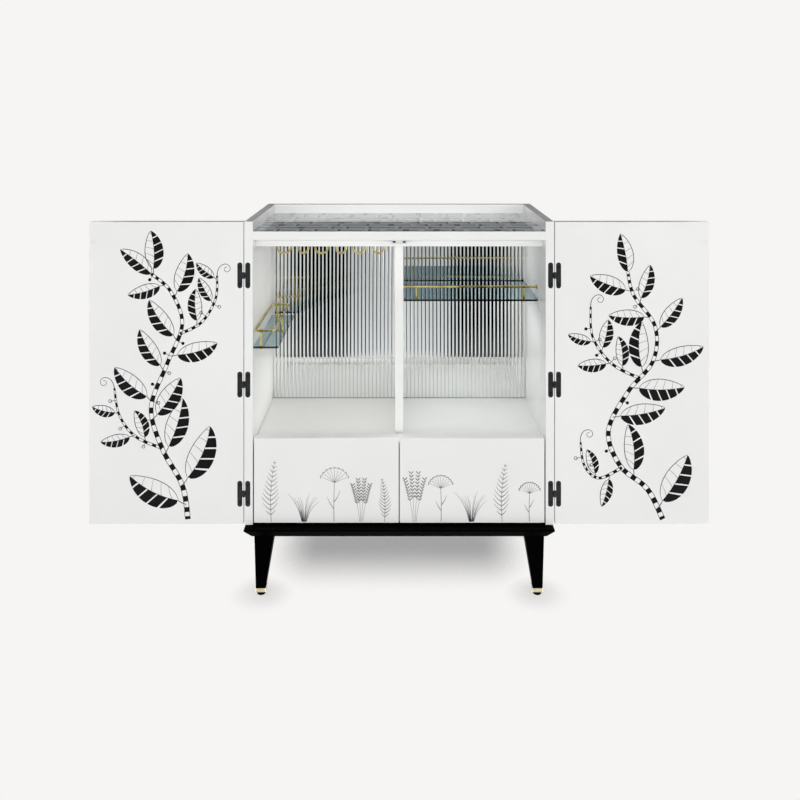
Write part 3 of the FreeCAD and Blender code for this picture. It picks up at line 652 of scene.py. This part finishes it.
def fretStrips(x0, x1, y0, y1):
    chance = random.Random(fret["seed"])
    wide, tall = (x1 - x0) / fret["across"], (y1 - y0) / fret["deep"]
    strips = []
    for row in range(fret["deep"]):
        y, column = y0 + tall * (row + 0.5), 0
        while column < fret["across"] - 1:
            run = chance.randint(*fret["runs"])
            start = x0 + wide * (column + fret["start"])
            end = min(x0 + wide * (column + run + fret["end"]), x1 - wide * fret["start"])
            strips.append(stroke([Vector((start, y)), Vector((end, y))], fret["bar"], fret["bar"]))
            hook = chance.choice((start - fret["hook"] / 2, end + fret["hook"] / 2))
            ends = [Vector((hook, y + side * tall * fret["hookReach"])) for side in (-1, 1)]
            strips.append(stroke(ends, fret["hook"], fret["hook"]))
            column += run + 1
    return strips


def onTray(x, y, lift):
    return x, y, trayHigh.z + lift


trayEdges = (trayLow.x, trayHigh.x, trayLow.y + fret["margin"], trayHigh.y)
sheet = [(Vector((x, trayEdges[3])), Vector((x, trayEdges[2]))) for x in trayEdges[:2]]
printPiece("tray_print_ground", [sheet], onTray, fret["ground"], trayGrey, "carcass")
printPiece("tray_print_fret", fretStrips(*trayEdges), onTray, fret["film"], trayInk, "carcass")
print("tray print done")


# stage: a pale floor that keeps the shadow under the cabinet and its feet, and fades into the background
floorLook = {"paint": "#EDEEF0", "reach": 2500,
             "under": {"centre": (0, 0.1, 0), "half": (0.23, 0.012, 0), "fade": (0.17, 0.25, 1),
                       "share": 0.81},
             "feet": {"centre": (0, 0.013, 0), "half": (0.36, 0.163, 0), "fade": (0.1, 0.1, 1),
                      "share": 0.35}}


def paintedStudioFloor(look):
    material, tree = emptyMaterial("paintedStudioFloor")
    rays = add(tree, "ShaderNodeLightPath")
    place = add(tree, "ShaderNodeTexCoord").outputs["Object"]
    shares = []
    for patch, inward in ((look["under"], "MAXIMUM"), (look["feet"], "ABSOLUTE")):
        past = add(tree, "ShaderNodeVectorMath", {0: place, 1: patch["centre"]}, operation="SUBTRACT")
        past = add(tree, "ShaderNodeVectorMath", {0: past.outputs[0]}, operation="ABSOLUTE")
        past = add(tree, "ShaderNodeVectorMath", {0: past.outputs[0], 1: patch["half"]},
                   operation="SUBTRACT")
        past = add(tree, "ShaderNodeVectorMath", {0: past.outputs[0], 1: (0, 0, 0)}, operation=inward)
        past = add(tree, "ShaderNodeVectorMath", {0: past.outputs[0], 1: patch["fade"]}, operation="DIVIDE")
        past = add(tree, "ShaderNodeVectorMath", {0: past.outputs[0]}, operation="LENGTH")
        share = add(tree, "ShaderNodeMapRange", {"Value": past.outputs["Value"], "To Min": patch["share"],
                                                 "To Max": 0.0}, interpolation_type="SMOOTHSTEP")
        shares.append(share.outputs["Result"])
    lit = add(tree, "ShaderNodeMath", {0: shares[0], 1: shares[1]}, operation="MAXIMUM")
    whole = add(tree, "ShaderNodeMath",
                {0: rays.outputs["Is Diffuse Ray"], 1: rays.outputs["Is Shadow Ray"]}, operation="MAXIMUM")
    lit = add(tree, "ShaderNodeMath", {0: lit.outputs[0], 1: whole.outputs[0]}, operation="MAXIMUM")
    paint = add(tree, "ShaderNodeBsdfDiffuse", {"Color": linear(look["paint"])})
    clear = add(tree, "ShaderNodeBsdfTransparent")
    mixed = add(tree, "ShaderNodeMixShader", {0: lit.outputs[0], 1: clear.outputs[0], 2: paint.outputs[0]})
    add(tree, "ShaderNodeOutputMaterial", {"Surface": mixed.outputs[0]})
    return material


reach = floorLook["reach"]
points = [(x, y, 0) for x, y in ((-reach, -reach), (reach, -reach), (reach, reach), (-reach, reach))]
meshPiece("studio_floor", points, [(0, 1, 2, 3)], paintedStudioFloor(floorLook))
print("floor done")


# world: a studio that mirrors and gloss see. Walls, ceiling and ground are the X or Z of a direction where
# each starts and where it is full
studio = {"background": "#F6F5F3", "walls": (0.3, 0.38), "ceiling": (0.3, 0.5), "ground": (-0.04, -0.1),
          "groundShare": 0.37, "dim": 0.12, "bright": (1.08, 1.78), "eye": -0.12, "eyeBand": (0.05, 0.17),
          "glossTint": "#F9FDFF", "inside": 1.0, "sky": (0.52, 0.12), "skyLevel": (0.25, 0.7),
          "skyTint": "#FFFFFF"}
counted = 0.5  # a ray's depth is a whole number: over this it has bounced


def studioWorld(look):
    world = bpy.data.worlds.new("studio")
    world.use_nodes = True
    tree = world.node_tree
    tree.nodes.clear()
    rays = add(tree, "ShaderNodeLightPath")
    # mirrors and metal see bright walls to the left and right, a bright ceiling, a lit floor ahead and a
    # dark band at eye level
    way = add(tree, "ShaderNodeTexCoord").outputs["Generated"]
    way = add(tree, "ShaderNodeSeparateXYZ", {"Vector": way})
    aside = add(tree, "ShaderNodeMath", {0: way.outputs["X"]}, operation="ABSOLUTE")
    walls = add(tree, "ShaderNodeMapRange", {
        "Value": aside.outputs[0], "From Min": look["walls"][0], "From Max": look["walls"][1]},
        interpolation_type="SMOOTHSTEP")
    above = add(tree, "ShaderNodeMapRange", {
        "Value": way.outputs["Z"], "From Min": look["ceiling"][0], "From Max": look["ceiling"][1]},
        interpolation_type="SMOOTHSTEP")
    below = add(tree, "ShaderNodeMapRange", {
        "Value": way.outputs["Z"], "From Min": look["ground"][0], "From Max": look["ground"][1],
        "To Max": look["groundShare"]}, interpolation_type="SMOOTHSTEP")
    for part in (above, below):
        walls = add(tree, "ShaderNodeMath", {0: walls.outputs[0], 1: part.outputs["Result"]},
                    operation="MAXIMUM")
    # the walls are less bright a little below eye level, which the mirrors' upper halves see
    offEye = add(tree, "ShaderNodeMath", {0: way.outputs["Z"], 1: look["eye"]}, operation="SUBTRACT")
    offEye = add(tree, "ShaderNodeMath", {0: offEye.outputs[0]}, operation="ABSOLUTE")
    bright = add(tree, "ShaderNodeMapRange", {
        "Value": offEye.outputs[0], "From Min": look["eyeBand"][0], "From Max": look["eyeBand"][1],
        "To Min": look["bright"][0], "To Max": look["bright"][1]})
    walls = add(tree, "ShaderNodeMapRange", {"Value": walls.outputs[0], "To Min": look["dim"],
                                             "To Max": bright.outputs["Result"]})
    # light that the mirrors throw on the white boards comes from an even studio
    direct = add(tree, "ShaderNodeMath", {0: rays.outputs["Diffuse Depth"], 1: counted},
                 operation="LESS_THAN")
    walls = add(tree, "ShaderNodeMapRange", {"Value": direct.outputs[0], "To Min": look["inside"],
                                             "To Max": walls.outputs["Result"]})
    plain = add(tree, "ShaderNodeBackground", {"Color": linear(look["background"]), "Strength": 1.0})
    glossy = add(tree, "ShaderNodeBackground",
                 {"Color": linear(look["glossTint"]), "Strength": walls.outputs["Result"]})
    # the studio's walls light the boards more than its ceiling does
    level = add(tree, "ShaderNodeMapRange", {
        "Value": way.outputs["Z"], "From Min": look["skyLevel"][0], "From Max": look["skyLevel"][1],
        "To Min": look["sky"][0], "To Max": look["sky"][1]})
    sky = add(tree, "ShaderNodeBackground",
              {"Color": linear(look["skyTint"]), "Strength": level.outputs["Result"]})
    # glass seen in a mirror lets the mirror's own surroundings through, glass seen straight the background
    unmirrored = add(tree, "ShaderNodeMath", {0: rays.outputs["Glossy Depth"], 1: counted},
                     operation="LESS_THAN")
    through = add(tree, "ShaderNodeMath",
                  {0: rays.outputs["Is Transmission Ray"], 1: unmirrored.outputs[0]}, operation="MULTIPLY")
    straight = add(tree, "ShaderNodeMath", {0: rays.outputs["Is Camera Ray"], 1: through.outputs[0]},
                   operation="MAXIMUM")
    shown = add(tree, "ShaderNodeMixShader",
                {0: rays.outputs["Is Glossy Ray"], 1: sky.outputs[0], 2: glossy.outputs[0]})
    shown = add(tree, "ShaderNodeMixShader",
                {0: straight.outputs[0], 1: shown.outputs[0], 2: plain.outputs[0]})
    add(tree, "ShaderNodeOutputWorld", {"Surface": shown.outputs[0]})
    return world


bpy.context.scene.world = studioWorld(studio)
print("world done")


# cards that only mirrors and gloss see, for a painted reflection: black in the dark middle of each mirror,
# glowing grey towards their foot and outer ends. Closed doors are too near to reflect them
card = {"y": -0.29, "x": (0.18, 0.46), "z": (0.2, 1.0), "near": 0.13,
        "low": [(0.3, "#585858"), (0.5, "#000000")], "side": [(0.35, "#000000"), (0.42, "#484848")]}


def paintedReflectionCard(look):
    material, tree = emptyMaterial("paintedReflectionCard")
    place = add(tree, "ShaderNodeTexCoord").outputs["Object"]
    place = add(tree, "ShaderNodeSeparateXYZ", {"Vector": place})
    aside = add(tree, "ShaderNodeMath", {0: place.outputs["X"]}, operation="ABSOLUTE")
    # the grey glow towards the cards' foot and outer ends is painted reflection
    low = setStops(add(tree, "ShaderNodeValToRGB", {"Fac": place.outputs["Z"]}), look["low"])
    edge = setStops(add(tree, "ShaderNodeValToRGB", {"Fac": aside.outputs[0]}), look["side"])
    glow = add(tree, "ShaderNodeVectorMath", {0: low, 1: edge}, operation="MAXIMUM")
    glow = add(tree, "ShaderNodeEmission", {"Color": glow.outputs[0]})
    rays = add(tree, "ShaderNodeLightPath")
    mirrored = add(tree, "ShaderNodeMath", {0: rays.outputs["Glossy Depth"], 1: counted},
                   operation="GREATER_THAN")
    far = add(tree, "ShaderNodeMath", {0: rays.outputs["Ray Length"], 1: look["near"]},
              operation="GREATER_THAN")
    mirrored = add(tree, "ShaderNodeMath", {0: mirrored.outputs[0], 1: far.outputs[0]},
                   operation="MULTIPLY")
    clear = add(tree, "ShaderNodeBsdfTransparent")
    mixed = add(tree, "ShaderNodeMixShader",
                {0: mirrored.outputs[0], 1: clear.outputs[0], 2: glow.outputs[0]})
    add(tree, "ShaderNodeOutputMaterial", {"Surface": mixed.outputs[0]})
    return material


material = paintedReflectionCard(card)
(inner, outer), (bottom, top) = card["x"], card["z"]
corners = ((inner, bottom), (outer, bottom), (outer, top), (inner, top))
for side in (-1, 1):
    points = [(side * x / mm, card["y"] / mm, z / mm) for x, z in corners]
    piece = meshPiece("reflection_card_" + ("left" if side < 0 else "right"), points, [(0, 1, 2, 3)], material)
    piece.visible_camera = piece.visible_diffuse = piece.visible_shadow = False
print("cards done")


# lamps. Places and sizes in metres, powers in watts
lamps = {
    "left_softbox": {"place": (-5.2, -5.8, 1.8), "aim": (0, 0, 0.6), "size": (4.4, 1.6), "power": 56},
    "right_softbox": {"place": (5.2, -5.8, 1.8), "aim": (0, 0, 0.6), "size": (4.4, 1.6), "power": 110},
    "front_softbox": {"place": (0, -6.4, 1.8), "aim": (0, 0, 0.6), "size": (4.8, 1.6), "power": 150},
    "top_softbox": {"place": (0, -2.4, 5.4), "aim": (0, 0, 0.6), "size": (4.8, 2.8), "power": 38},
    "left_back_softbox": {"place": (-5, 4.6, 2.2), "aim": (0, 0, 0.6), "size": (3.6, 2.0), "power": 40},
    "right_back_softbox": {"place": (5, 4.6, 2.2), "aim": (0, 0, 0.6), "size": (3.6, 2.0), "power": 40},
    # small panels that stand in for the light that white boards throw on each other
    "left_down_panel": {"place": (-0.12, 0.01, 0.925), "aim": (-0.12, 0.01, 0), "size": (0.12, 0.26),
                        "power": 0.83},
    "right_down_panel": {"place": (0.195, 0.03, 0.738), "aim": (0.195, 0.03, 0), "size": (0.24, 0.24),
                         "power": 0.62},
    "left_up_panel": {"place": (-0.195, 0, 0.405), "aim": (-0.195, 0, 2), "size": (0.3, 0.3),
                      "power": 0.36},
    "right_up_panel": {"place": (0.195, 0, 0.405), "aim": (0.195, 0, 2), "size": (0.3, 0.3),
                       "power": 0.03},
    "right_wall_panel": {"place": (0.25, 0.08, 0.83), "aim": (0.378, 0.08, 0.83), "size": (0.2, 0.16),
                         "power": 0.16},
    "tray_panel": {"place": (0, 0.09, 0.985), "aim": (0, 0.191, 0.968), "size": (0.7, 0.02), "power": 0.06},
    "valance_panel": {"place": (0, -0.19, 0.8), "aim": (0, -0.143, 0.92), "size": (0.7, 0.02),
                      "power": 0.055},
}
for name, values in lamps.items():
    light = bpy.data.lights.new(name, "AREA")
    light.shape, light.energy = "RECTANGLE", values["power"]
    light.size, light.size_y = values["size"]
    lamp = bpy.data.objects.new(name, light)
    lamp.location = values["place"]
    toAim = Vector(values["aim"]) - Vector(values["place"])
    lamp.rotation_euler = toAim.to_track_quat("-Z", "Y").to_euler()
    lamp.visible_camera = lamp.visible_glossy = lamp.visible_transmission = False
    bpy.context.collection.objects.link(lamp)
print("lamps:", len(lamps))
